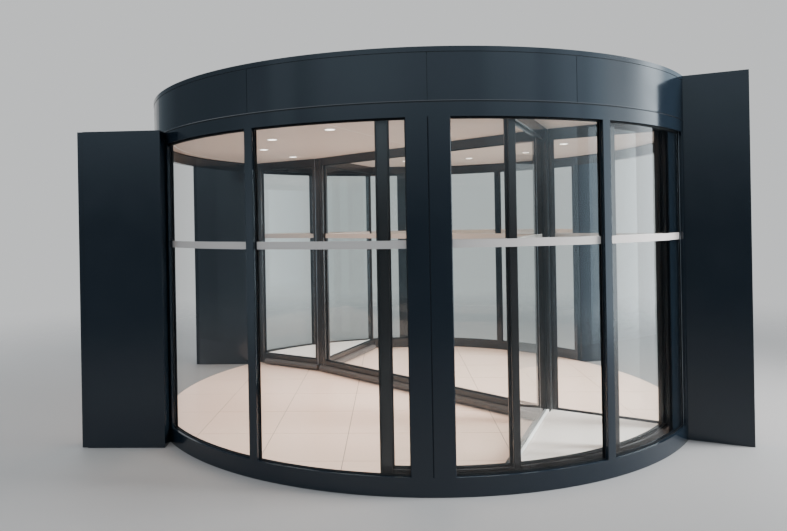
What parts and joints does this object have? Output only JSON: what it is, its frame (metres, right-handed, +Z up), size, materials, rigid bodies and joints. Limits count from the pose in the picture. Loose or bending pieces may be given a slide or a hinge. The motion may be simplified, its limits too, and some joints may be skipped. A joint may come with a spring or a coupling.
{
  "type": "revolving door",
  "caption": "Large two-wing glazed revolving door with curved glass walls, tall round canopy, glazed display-case wings and side casings.",
  "frame": {"origin": "turning centre of the rotor, on the floor under the drum", "axes": "+Z up along the turning axis, +X towards the street-side opening, the curved walls lie at -Y and +Y"},
  "size_m": [5.0138, 4.8036, 2.724],
  "materials": {
    "drum_paint": "satin anthracite powder coat",
    "rotor_paint": "satin dark grey powder coat",
    "clear_glass": "clear laminated glass with a frosted band",
    "bumper_rubber": "matt rubber",
    "brush_pile": "fine dark brush",
    "floor_tile": "matt beige floor tile with fine joints",
    "case_board": "smooth beige board",
    "ceiling_paint": "matt warm white paint",
    "light_lens": "opal lens",
    "bearing_steel": "machined steel"
  },
  "bodies": {
    "drum": {"bearing_housing": "bearing_steel", "canopy_frame": "drum_paint", "far_centre_post": "drum_paint", "far_end_posts": "drum_paint", "far_fascia": "drum_paint", "far_glass": "clear_glass", "far_mullions": "drum_paint", "far_side_casings": "drum_paint", "far_sill": "drum_paint", "floor_disc": "floor_tile", "head_ring": "drum_paint", "interior_fascia": "drum_paint", "near_centre_post": "drum_paint", "near_end_posts": "drum_paint", "near_fascia": "drum_paint", "near_glass": "clear_glass", "near_mullions": "drum_paint", "near_side_casings": "drum_paint", "near_sill": "drum_paint", "roof_cap": "drum_paint", "street_fascia": "drum_paint"},
    "rotor": {"centre_bottom_rail": "rotor_paint", "centre_bumpers": "bumper_rubber", "centre_glass": "clear_glass", "centre_top_rail": "rotor_paint", "downlights": "light_lens", "far_wing_bottom_rails": "rotor_paint", "far_wing_brushes": "brush_pile", "far_wing_bumpers": "bumper_rubber", "far_wing_case_floor": "case_board", "far_wing_curved_glass": "clear_glass", "far_wing_posts": "rotor_paint", "far_wing_side_glass": "clear_glass", "far_wing_top_rails": "rotor_paint", "hub_posts": "rotor_paint", "near_wing_bottom_rails": "rotor_paint", "near_wing_brushes": "brush_pile", "near_wing_bumpers": "bumper_rubber", "near_wing_case_floor": "case_board", "near_wing_curved_glass": "clear_glass", "near_wing_posts": "rotor_paint", "near_wing_side_glass": "clear_glass", "near_wing_top_rails": "rotor_paint", "rotor_ceiling": "ceiling_paint", "rotor_spindle": "bearing_steel"}
  },
  "joints": [
    {"name": "rotor_turn", "type": "hinge", "parent": "drum", "child": "rotor", "pos_m": [0, 0, 2.5], "axis": [0, 0, 1], "continuous": true}
  ]
}
